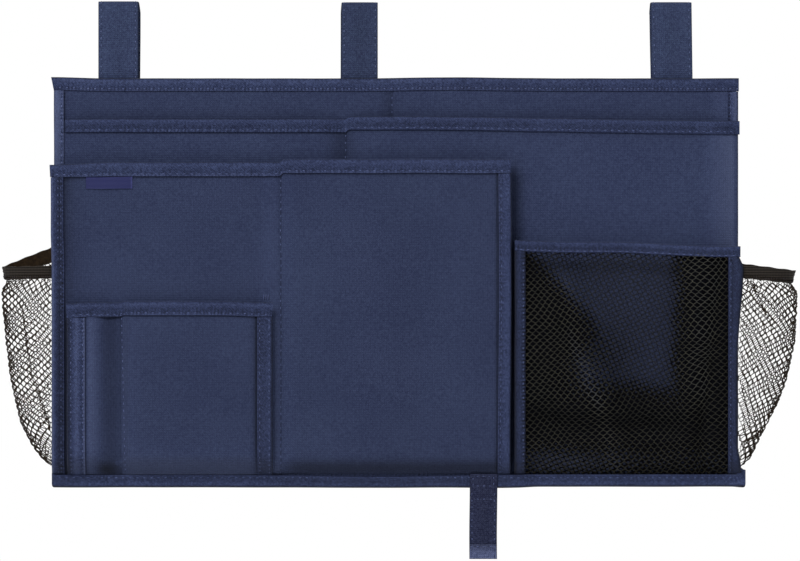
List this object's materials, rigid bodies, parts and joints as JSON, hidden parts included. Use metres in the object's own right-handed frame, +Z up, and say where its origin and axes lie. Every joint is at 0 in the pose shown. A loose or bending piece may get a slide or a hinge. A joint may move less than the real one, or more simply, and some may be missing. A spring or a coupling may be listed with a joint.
{
  "type": "bedside caddy",
  "caption": "Navy fabric caddy that hangs from a bed rail by three strap loops, with open front pockets, a net pocket, elastic-topped net bottle pockets at both sides and a strap hanging below",
  "frame": {"origin": "on the axis of the bed rail that passes through the strap loops, at mid width of the panel", "axes": "+X to the right seen from the front, along the rail; +Y towards the back, where the bed is; +Z up"},
  "size_m": [0.6952, 0.0705, 0.485],
  "materials": {
    "oxford_cloth": "navy coated polyester oxford cloth, matt",
    "binding_tape": "navy woven binding tape with light blue-grey stitching",
    "strap_webbing": "navy oxford cloth folded into a strap and topstitched at both edges",
    "stiffener_board": "plain plastic sheet, hidden between the covers",
    "black_net": "black polyester net with six-sided holes",
    "black_elastic": "black ribbed knitted elastic",
    "label_tape": "blank woven indigo tape",
    "hook_tape": "hook tape",
    "loop_tape": "napped loop tape"
  },
  "bodies": {
    "caddy": {"back_cover": "oxford_cloth", "bottom_binding": "binding_tape", "bottom_strap_anchor": "strap_webbing", "front_cover": "oxford_cloth", "front_pocket_gusset_left": "oxford_cloth", "front_pocket_gusset_right": "oxford_cloth", "front_pocket_left_binding": "binding_tape", "front_pocket_panel": "oxford_cloth", "front_pocket_partition": "oxford_cloth", "front_pocket_right_binding": "binding_tape", "front_pocket_top_binding": "binding_tape", "label_tab": "label_tape", "left_binding": "binding_tape", "left_bottle_elastic": "black_elastic", "left_bottle_net": "black_net", "mesh_pocket_gusset_left": "oxford_cloth", "mesh_pocket_gusset_right": "oxford_cloth", "mesh_pocket_left_binding": "binding_tape", "mesh_pocket_net": "black_net", "mesh_pocket_right_binding": "binding_tape", "mesh_pocket_top_binding": "binding_tape", "right_binding": "binding_tape", "right_bottle_elastic": "black_elastic", "right_bottle_net": "black_net", "small_pocket_gusset_left": "oxford_cloth", "small_pocket_gusset_right": "oxford_cloth", "small_pocket_left_binding": "binding_tape", "small_pocket_panel": "oxford_cloth", "small_pocket_right_binding": "binding_tape", "small_pocket_top_binding": "binding_tape", "stiffener_board_left": "stiffener_board", "stiffener_board_right": "stiffener_board", "strap_left": "strap_webbing", "strap_left_loop_patch": "loop_tape", "strap_middle": "strap_webbing", "strap_middle_loop_patch": "loop_tape", "strap_right": "strap_webbing", "strap_right_loop_patch": "loop_tape", "top_binding": "binding_tape", "wide_pocket_binding": "binding_tape", "wide_pocket_panel": "oxford_cloth"},
    "tail_left": {"strap_left_tail": "strap_webbing", "strap_left_hook_patch": "hook_tape"},
    "tail_middle": {"strap_middle_tail": "strap_webbing", "strap_middle_hook_patch": "hook_tape"},
    "tail_right": {"strap_right_tail": "strap_webbing", "strap_right_hook_patch": "hook_tape"},
    "bottom_strap_free": {"bottom_strap": "strap_webbing"}
  },
  "joints": [
    {"name": "strap_left_tail_swing", "type": "hinge", "parent": "caddy", "child": "tail_left", "pos_m": [-0.2424, 0.0127, 0.00845], "axis": [1, 0, 0], "range_deg": [0, 95]},
    {"name": "strap_middle_tail_swing", "type": "hinge", "parent": "caddy", "child": "tail_middle", "pos_m": [-0.032, 0.0127, 0.00845], "axis": [1, 0, 0], "range_deg": [0, 95]},
    {"name": "strap_right_tail_swing", "type": "hinge", "parent": "caddy", "child": "tail_right", "pos_m": [0.2402, 0.0127, 0.00845], "axis": [1, 0, 0], "range_deg": [0, 95]},
    {"name": "bottom_strap_swing", "type": "hinge", "parent": "caddy", "child": "bottom_strap_free", "pos_m": [0.076, -0.0277, -0.41055], "axis": [1, 0, 0], "range_deg": [-90, 90]}
  ]
}
